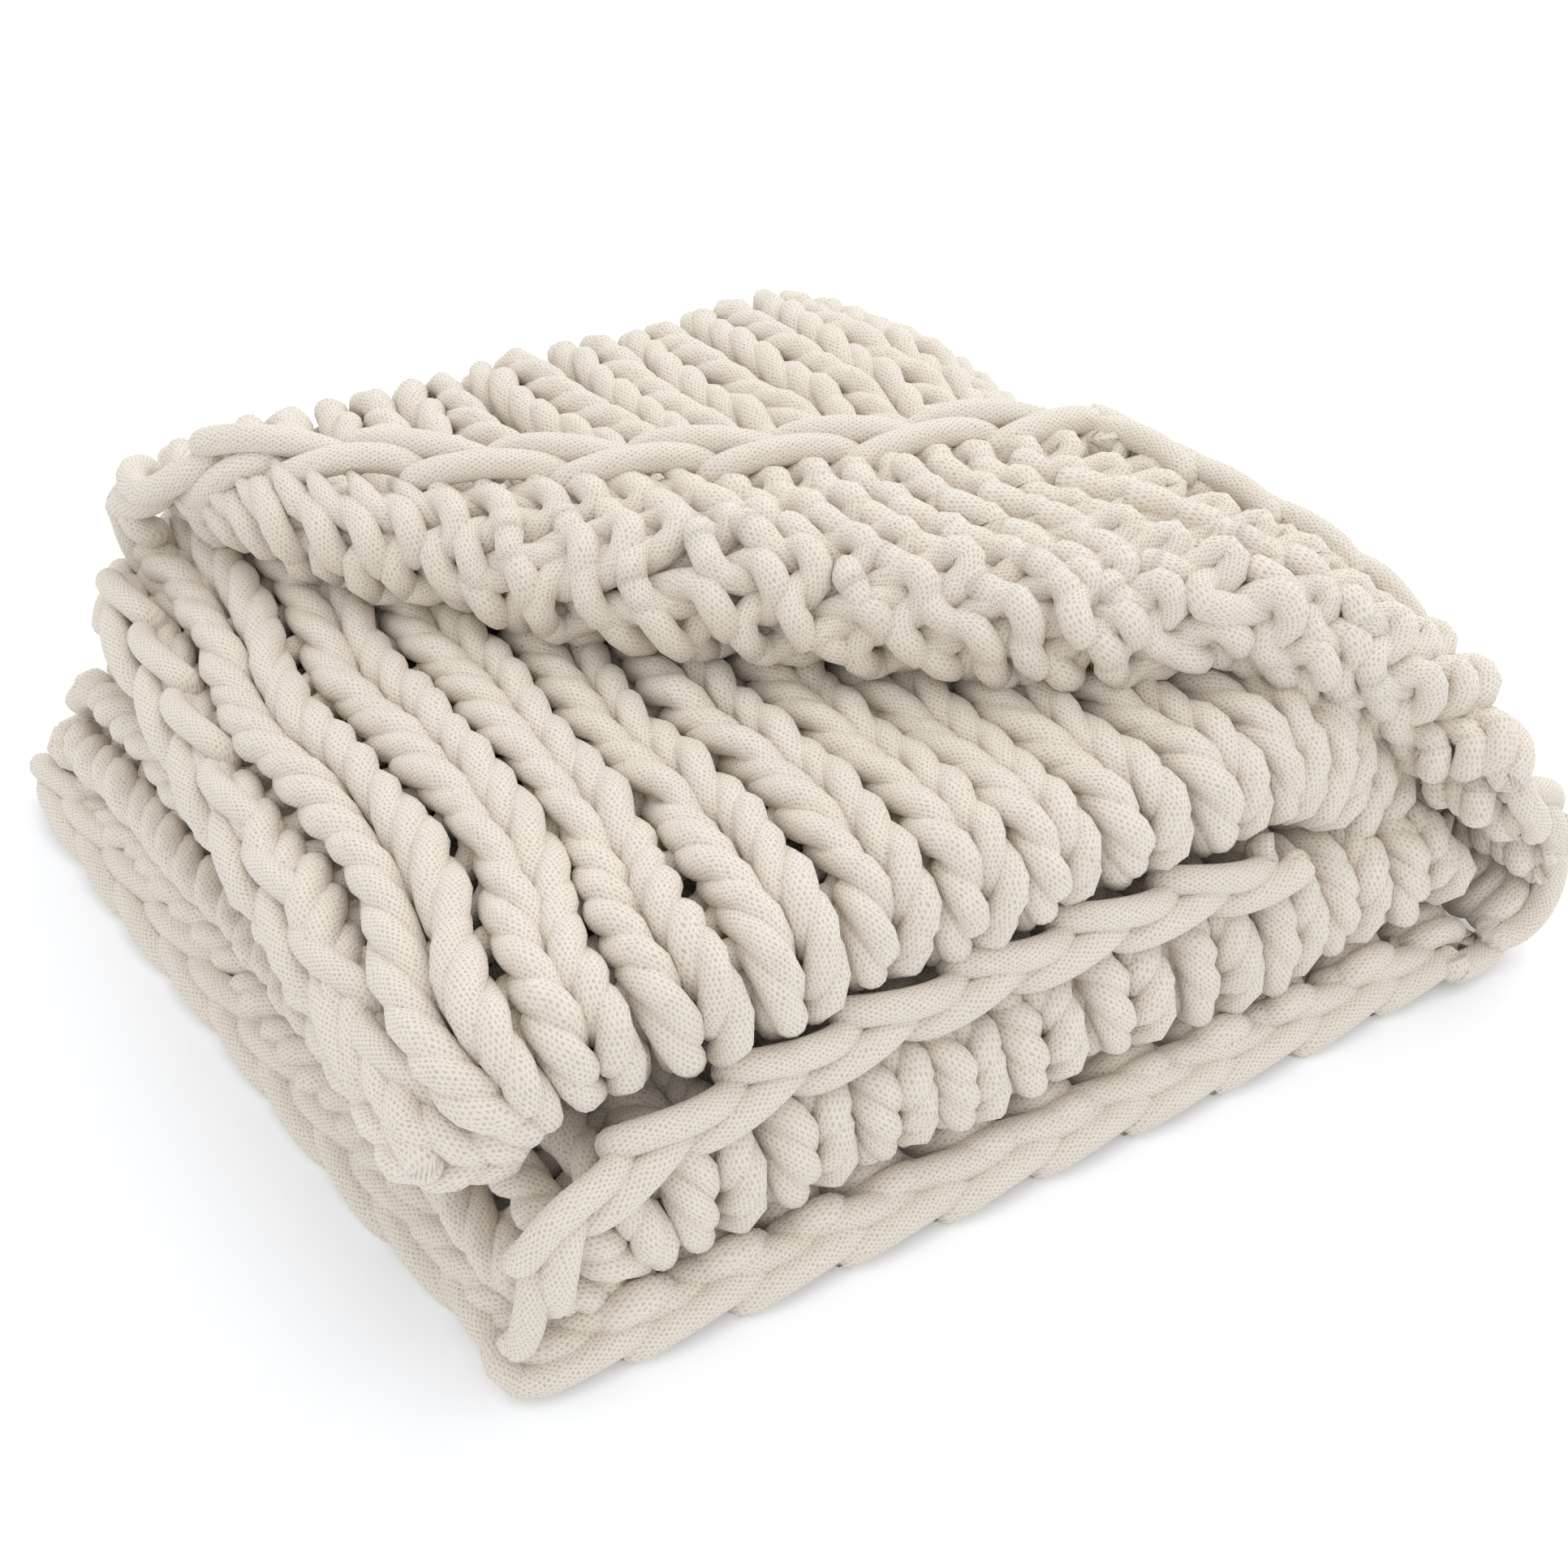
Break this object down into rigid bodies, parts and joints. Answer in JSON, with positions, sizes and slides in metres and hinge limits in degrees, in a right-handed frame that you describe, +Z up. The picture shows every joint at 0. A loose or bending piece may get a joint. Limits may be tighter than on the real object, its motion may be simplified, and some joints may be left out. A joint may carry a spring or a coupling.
{
  "type": "folded knitted throw blanket",
  "caption": "Chunky hand-knitted cotton throw, folded into a rectangular bundle with one corner of the top layer turned back.",
  "frame": {"origin": "middle of the bundle's underside, on the surface it lies on", "axes": "+Z up, +X to the right along the front edge, away from the strip's open end, +Y to the back"},
  "size_m": [0.5547, 0.4342, 0.1889],
  "materials": {
    "cotton_knit": "matte natural cream cotton tube yarn in stockinette stitch, knit and purl side",
    "cotton_edge": "matte natural cream cotton tube yarn in bound-off and slipped-stitch chains"
  },
  "bodies": {
    "lower_half": {"bottom_panel": "cotton_knit", "bottom_selvedge": "cotton_edge", "bottom_bind_off_edge": "cotton_edge", "lower_second_panel": "cotton_knit", "lower_second_selvedge": "cotton_edge", "lower_third_panel": "cotton_knit", "lower_third_selvedge": "cotton_edge", "lower_fourth_panel": "cotton_knit", "inner_bind_off_edge": "cotton_edge", "lower_front_roll": "cotton_knit", "lower_outer_back_fold": "cotton_knit", "lower_inner_back_fold": "cotton_knit"},
    "right_fold": {"right_fold": "cotton_knit", "fold_bind_off_edge": "cotton_edge"},
    "upper_half": {"upper_fourth_panel": "cotton_knit", "upper_third_panel": "cotton_knit", "main_panel": "cotton_knit", "main_selvedge": "cotton_edge", "upper_front_roll": "cotton_knit", "upper_inner_back_fold": "cotton_knit", "upper_outer_back_fold": "cotton_knit", "top_flap": "cotton_knit"},
    "turned_corner": {"turned_corner": "cotton_knit", "corner_selvedge": "cotton_edge", "corner_bind_off_edge": "cotton_edge"}
  },
  "joints": [
    {"name": "right_fold_opens", "type": "hinge", "parent": "lower_half", "child": "right_fold", "pos_m": [0.2355, 0, 0.042], "axis": [0, 1, 0], "range_deg": [0, 90]},
    {"name": "upper_half_opens", "type": "hinge", "parent": "right_fold", "child": "upper_half", "pos_m": [0.2145, 0, 0.126], "axis": [0, 1, 0], "range_deg": [0, 90]},
    {"name": "corner_unfolds", "type": "hinge", "parent": "upper_half", "child": "turned_corner", "pos_m": [-0.221, 0.16, 0.168], "axis": [0.7121, -0.7021, 0], "range_deg": [0, 180]}
  ],
  "couplings": [
    {"joint": "upper_half_opens", "follows": "right_fold_opens", "ratio": 1}
  ]
}
